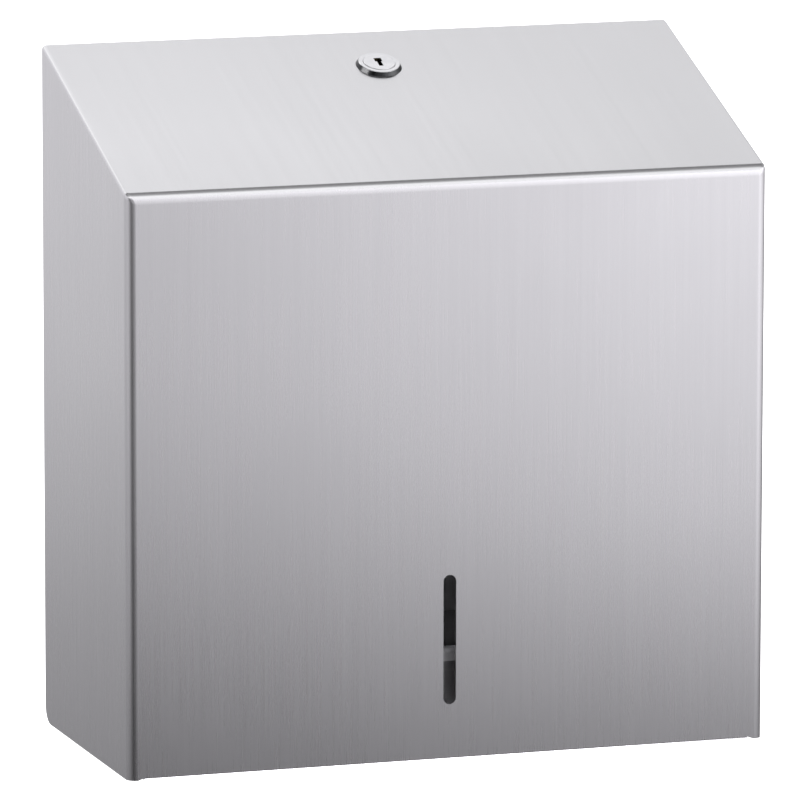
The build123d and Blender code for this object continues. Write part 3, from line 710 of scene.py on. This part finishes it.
def screwTree(shape):
    tree = bpy.data.node_groups.new("panScrews", "GeometryNodeTree")
    face = tree.interface
    face.new_socket("Geometry", in_out="INPUT", socket_type="NodeSocketGeometry")
    face.new_socket("Geometry", in_out="OUTPUT", socket_type="NodeSocketGeometry")
    for key, size in shape["sizes"].items():
        socket = face.new_socket(key, in_out="INPUT", socket_type="NodeSocketFloat")
        socket.default_value = size
    face.new_socket("finish", in_out="INPUT", socket_type="NodeSocketMaterial")
    source, target = tree.nodes.new("NodeGroupInput"), tree.nodes.new("NodeGroupOutput")

    def add(kind, inputs=None, **settings):
        return addNode(tree, kind, inputs, **settings)

    def maths(operation, first, second):
        return add("ShaderNodeMath", {0: first, 1: second}, operation=operation).outputs[0]

    def vector(x=0.0, y=0.0, z=0.0):
        return add("ShaderNodeCombineXYZ", {"X": x, "Y": y, "Z": z}).outputs[0]

    def moved(mesh, offset):
        return add("GeometryNodeTransform", {"Geometry": mesh, "Translation": offset}).outputs[0]

    value = source.outputs
    headRadius = maths("MULTIPLY", value["headDiameter"], 0.5)
    steps = shape["headSteps"]
    drum = add("GeometryNodeMeshCylinder", {
        "Vertices": steps, "Radius": headRadius, "Depth": value["headHeight"]})
    drum = moved(drum.outputs["Mesh"], vector(z=maths("MULTIPLY", value["headHeight"], 0.5)))
    dome = add("GeometryNodeMeshUVSphere", {
        "Segments": steps, "Rings": steps, "Radius": value["domeRadius"]})
    domeHeight = maths("SUBTRACT", value["headHeight"], value["domeRadius"])
    dome = moved(dome.outputs["Mesh"], vector(z=domeHeight))
    # A domed head is what a drum and a ball share
    head = add("GeometryNodeMeshBoolean", operation="INTERSECT", solver="EXACT")
    tree.links.new(drum, head.inputs["Mesh 2"])
    tree.links.new(dome, head.inputs["Mesh 2"])
    deep = maths("MULTIPLY", value["driveDepth"], 2.0)
    arms = []
    for x, y in (("driveLength", "driveWidth"), ("driveWidth", "driveLength")):
        arm = add("GeometryNodeMeshCube", {"Size": vector(value[x], value[y], deep)})
        arms.append(moved(arm.outputs["Mesh"], vector(z=value["headHeight"])))
    carved = add("GeometryNodeMeshBoolean", {"Mesh 1": head.outputs["Mesh"]},
                 operation="DIFFERENCE", solver="EXACT")
    for arm in arms:
        tree.links.new(arm, carved.inputs["Mesh 2"])
    # Each screw is as long as its seat is from the wall
    place = add("GeometryNodeInputPosition").outputs[0]
    split = add("ShaderNodeSeparateXYZ", {0: place})
    length = maths("SUBTRACT", maths("ABSOLUTE", split.outputs["Y"], 0.0), value["wallGap"])
    shankRadius = maths("MULTIPLY", value["shankDiameter"], 0.5)
    shank = add("GeometryNodeMeshCylinder", {
        "Vertices": shape["shankSteps"], "Radius": shankRadius, "Depth": 1.0})
    shank = moved(shank.outputs["Mesh"], (0, 0, -0.5))
    turn = add("FunctionNodeEulerToRotation", {0: (math.pi / 2, 0, 0)}).outputs[0]
    heads = add("GeometryNodeInstanceOnPoints", {
        "Points": value["Geometry"], "Instance": carved.outputs["Mesh"], "Rotation": turn})
    shanks = add("GeometryNodeInstanceOnPoints", {
        "Points": value["Geometry"], "Instance": shank, "Rotation": turn,
        "Scale": vector(1.0, 1.0, length)})
    both = add("GeometryNodeJoinGeometry")
    tree.links.new(shanks.outputs["Instances"], both.inputs["Geometry"])
    tree.links.new(heads.outputs["Instances"], both.inputs["Geometry"])
    real = add("GeometryNodeRealizeInstances", {"Geometry": both.outputs["Geometry"]})
    done = add("GeometryNodeSetMaterial", {
        "Geometry": real.outputs["Geometry"], "Material": value["finish"]})
    tree.links.new(done.outputs["Geometry"], target.inputs["Geometry"])
    return tree


def makeScrews(shape):
    nodes, sizes = shape["rows"], shape["sizes"]
    seats = []
    for node, (count, axis) in nodes.items():
        seats += screwSeats(node, count, axis, sizes)
    screws = newPiece("panScrews", meshFrom("panScrews", seats, []), [])
    tree = screwTree(shape)
    modifier = screws.modifiers.new("screws", "NODES")
    modifier.node_group = tree
    for item in tree.interface.items_tree:
        if item.in_out != "INPUT" or item.name == "Geometry":
            continue
        plated = item.name == "finish"
        modifier[item.identifier] = finishes["zincPlate"] if plated else sizes[item.name]
    bakeModifiers(screws)
    smoothByAngle(screws, shape["smoothAngle"])
    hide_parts(*nodes)
    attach(screws, "frame")
    print("screws made", len(screws.data.polygons))


makeScrews(screwShape)


# The other CAD nodes keep their shape: copies of the shown ones are merged and shaded smooth

nodeMesh = {"merge": 2e-6, "flatAngle": 0.2, "smoothAngle": 32}
# Each node's finish, material slot and body
nodeFinishes = {
    "back_plate": ("plateSteel", "plate_steel", "frame"),
    "towel_tray": ("traySteel", "tray_steel", "frame"),
    "left_towel_guide": ("guideSteel", "guide_steel", "frame"),
    "right_towel_guide": ("guideSteel", "guide_steel", "frame"),
    "lock_keeper": ("guideSteel", "guide_steel", "frame"),
    "left_hinge_bush": ("nylon", "nylon", "frame"),
    "right_hinge_bush": ("nylon", "nylon", "frame"),
    "cover_buffers": ("blackRubber", "black_rubber", "frame"),
    "left_hinge_stud": ("studSteel", "stud_steel", "cover"),
    "right_hinge_stud": ("studSteel", "stud_steel", "cover"),
    "left_stop_stud": ("studSteel", "stud_steel", "cover"),
    "right_stop_stud": ("studSteel", "stud_steel", "cover"),
    "left_hinge_clip": ("springSteel", "spring_steel", "cover"),
    "right_hinge_clip": ("springSteel", "spring_steel", "cover"),
    "lock_washer": ("zincPlate", "plated_screw", "cover"),
    "lock_nut": ("zincPlate", "plated_screw", "cover"),
    "lock_plug": ("lockChrome", "lock_chrome", "lock_core"),
    "lock_wafers": ("waferBrass", "wafer_brass", "lock_core"),
    "lock_cam": ("camPlate", "cam_steel", "lock_core"),
    "cam_plate": ("camPlate", "cam_steel", "lock_core"),
    "cam_spring_washer": ("springSteel", "spring_steel", "lock_core"),
    "cam_screw": ("zincPlate", "plated_screw", "lock_core"),
}


def finishNode(node, finish, slot, body):
    mesh = frame["nodes"][node].data.copy()
    work = bmesh.new()
    work.from_mesh(mesh)
    bmesh.ops.remove_doubles(work, verts=work.verts, dist=nodeMesh["merge"])
    flat = math.radians(nodeMesh["flatAngle"])
    bmesh.ops.dissolve_limit(work, angle_limit=flat, verts=work.verts, edges=work.edges)
    work.to_mesh(mesh)
    work.free()
    words = node.split("_")
    name = words[0] + "".join(word.capitalize() for word in words[1:])
    piece = newPiece(name, mesh, [finishes[finish]])
    for face in mesh.polygons:
        face.material_index = 0
    smoothByAngle(piece, nodeMesh["smoothAngle"])
    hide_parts(node)
    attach(piece, body)


for node, values in nodeFinishes.items():
    finishNode(node, *values)
print("nodes finished", len(nodeFinishes))


# Camera, floor and lights

cameraPlace = {
    "location": (-1.1974, -3.7093, 0.669),
    "yaw": 18.18,
    "pitch": 9.95,
    "roll": 0.085,
    "lens": 386.7,
    "sensor": 36.0,
}


def makeCamera(place):
    yaw, pitch, roll = (math.radians(place[key]) for key in ("yaw", "pitch", "roll"))
    level = math.cos(pitch)
    forward = Vector((math.sin(yaw) * level, math.cos(yaw) * level, -math.sin(pitch)))
    right = forward.cross(Vector((0, 0, 1))).normalized()
    up = right.cross(forward)
    across = right * math.cos(roll) + up * math.sin(roll)
    up = up * math.cos(roll) - right * math.sin(roll)
    turn = Matrix((across, up, -forward)).transposed().to_4x4()
    data = bpy.data.cameras.new("camera")
    data.lens, data.sensor_width = place["lens"], place["sensor"]
    camera = bpy.data.objects.new("camera", data)
    camera.matrix_world = Matrix.Translation(place["location"]) @ turn
    scene.collection.objects.link(camera)
    scene.camera = camera


makeCamera(cameraPlace)

studio = {
    "floorHeight": -0.52,
    "floorSize": 60.0,
    "floorTone": 0.9,
    "floorRoughness": 0.9,
    "floorGlow": 1.0,
    "tentRadius": 1.6,
    "tentFoot": -1.4,
    "tentTop": 1.5,
    "tentSteps": 96,
    "tint": (0.985, 0.98, 1.0),
    # Levels round the tent's wall, against the turn in degrees from straight left past the front
    "roundStops": (
        (0, 0.72), (22, 0.66), (38, 0.3), (55, 0.05), (68, 0.26), (88, 0.42), (102, 0.76),
        (116, 1.28), (140, 1.3), (160, 1.0), (185, 0.75), (200, 0.35), (216, 0.25), (230, 0.8),
        (245, 0.95), (265, 0.95), (288, 0.95), (310, 0.85), (335, 0.75), (360, 0.72),
    ),
    # Levels up the wall, before and behind the object, which pass into each other within a depth
    "frontStops": (
        (-1.4, 0.4), (-1.2, 0.2), (-0.85, 0.03), (-0.52, 0.05), (-0.44, 0.26), (-0.34, 0.78),
        (-0.24, 1.0), (-0.1, 1.1), (0.15, 1.15), (0.5, 1.25), (1.5, 1.4),
    ),
    "rearStops": (
        (-1.4, 0.2), (-0.62, 0.24), (-0.44, 0.42), (-0.34, 0.6), (-0.24, 0.77), (-0.1, 0.89),
        (0.15, 0.95), (0.5, 1.1), (1.5, 1.2),
    ),
    "passingDepth": 0.4,
    # Levels over the ceiling, from front to rear and from left to right
    "depthStops": (
        (-1.6, 1.3), (-0.7, 1.45), (-0.35, 0.5), (0.1, 0.32), (0.7, 0.3), (0.92, 1.4),
        (1.05, 1.34), (1.25, 0.94), (1.6, 0.7),
    ),
    "widthStops": ((-1.6, 0.97), (0.2, 0.97), (0.9, 0.79), (1.6, 0.7)),
    # One card puts a line of light on the slanted edge, one lights the open bottom from below
    "cards": {
        "glintCard": {"place": (-0.62, 0.92, 1.05), "size": 0.34, "level": 1.4},
        "bounceCard": {"place": (0.0, -0.07, -0.5), "size": 0.44, "level": 5.2},
    },
    "worldTone": (0.95, 0.95, 0.96),
    "worldLevel": 1.3,
}


squareCorners = ((-1, -1), (1, -1), (1, 1), (-1, 1))


def levelAlong(weave, value, stops):
    # A smooth level along a value, through (value, level) stops
    low, high = stops[0][0], stops[-1][0]
    peak = max(level for _, level in stops)
    share = weave.spread(value, 0.0, 1.0, low, high)
    ramp = weave.ramp(share, [((at - low) / (high - low), level / peak) for at, level in stops])
    return weave.maths(ramp, peak, "MULTIPLY")


def wallLevel(weave, values):
    split = weave.split(weave.place)
    turn = weave.maths(split["Y"], split["X"], "ARCTAN2")
    degrees = weave.spread(turn, 0.0, 360.0, -math.pi, math.pi)
    around = levelAlong(weave, degrees, values["roundStops"])
    front = levelAlong(weave, split["Z"], values["frontStops"])
    rear = levelAlong(weave, split["Z"], values["rearStops"])
    depth = values["passingDepth"]
    share = weave.spread(split["Y"], 0.0, 1.0, -depth, depth)
    inputs = {"Factor": share, "A": front, "B": rear}
    up = weave.add("ShaderNodeMix", inputs, data_type="FLOAT").outputs["Result"]
    return weave.maths(up, around, "MULTIPLY")


def ceilingLevel(weave, values):
    split = weave.split(weave.place)
    depth = levelAlong(weave, split["Y"], values["depthStops"])
    width = levelAlong(weave, split["X"], values["widthStops"])
    return weave.maths(width, depth, "MULTIPLY")


def glowCard(weave, mesh, tint, level):
    # A glowing surface, unseen by the camera and without a shadow
    glow = weave.add("ShaderNodeEmission", {"Color": (*tint, 1), "Strength": level})
    weave.tree.nodes.remove(weave.shader)
    weave.join(glow.outputs["Emission"], weave.surface)
    card = newPiece(mesh.name, mesh, [weave.material])
    card.visible_camera = False
    card.visible_shadow = False


def makeFloor(values):
    # A plain pale floor, clear from below, that lights and mirrors nothing
    size, height = values["floorSize"] / 2, values["floorHeight"]
    corners = [(x * size, y * size, height) for x, y in squareCorners]
    weave = Weave("paleFloor")
    tone = values["floorTone"]
    weave.shade(Base_Color=(tone, tone, tone, 1), Roughness=values["floorRoughness"],
                Emission_Color=(1, 1, 1, 1), Emission_Strength=values["floorGlow"])
    behind = weave.add("ShaderNodeNewGeometry").outputs["Backfacing"]
    choose = weave.add("ShaderNodeMixShader", {"Fac": behind})
    weave.join(weave.shader.outputs["BSDF"], choose.inputs[1])
    weave.join(weave.add("ShaderNodeBsdfTransparent").outputs["BSDF"], choose.inputs[2])
    weave.join(choose.outputs["Shader"], weave.surface)
    floor = newPiece("floor", meshFrom("floor", corners, [(0, 1, 2, 3)]), [weave.material])
    floor.visible_glossy = False
    floor.visible_diffuse = False
    floor.visible_transmission = False


def makeStudio(values):
    makeFloor(values)
    tint, radius, steps = values["tint"], values["tentRadius"], values["tentSteps"]
    turns = [2 * math.pi * i / steps for i in range(steps)]
    ring = [(radius * math.cos(a), radius * math.sin(a)) for a in turns]
    wall = [(x, y, z) for z in (values["tentFoot"], values["tentTop"]) for x, y in ring]
    faces = [(i, (i + 1) % steps, (i + 1) % steps + steps, i + steps) for i in range(steps)]
    weave = Weave("lightWall")
    glowCard(weave, meshFrom("lightWall", wall, faces), tint, wallLevel(weave, values))
    weave = Weave("lightCeiling")
    ceiling = meshFrom("lightCeiling", wall[steps:], [tuple(range(steps))])
    glowCard(weave, ceiling, tint, ceilingLevel(weave, values))
    for name, card in values["cards"].items():
        # Each card stands square to the line from the object's middle
        place = Vector(card["place"])
        facing = place.to_track_quat("Z", "Y").to_matrix() * (card["size"] / 2)
        corners = [place + facing @ Vector((x, y, 0)) for x, y in squareCorners]
        glowCard(Weave(name), meshFrom(name, corners, [(0, 1, 2, 3)]), tint, card["level"])
    world = bpy.data.worlds.new("studioWorld")
    world.use_nodes = True
    background = world.node_tree.nodes["Background"].inputs
    background["Color"].default_value = (*values["worldTone"], 1)
    background["Strength"].default_value = values["worldLevel"]
    scene.world = world
    scene.view_settings.view_transform = "Standard"


makeStudio(studio)
print("studio made")
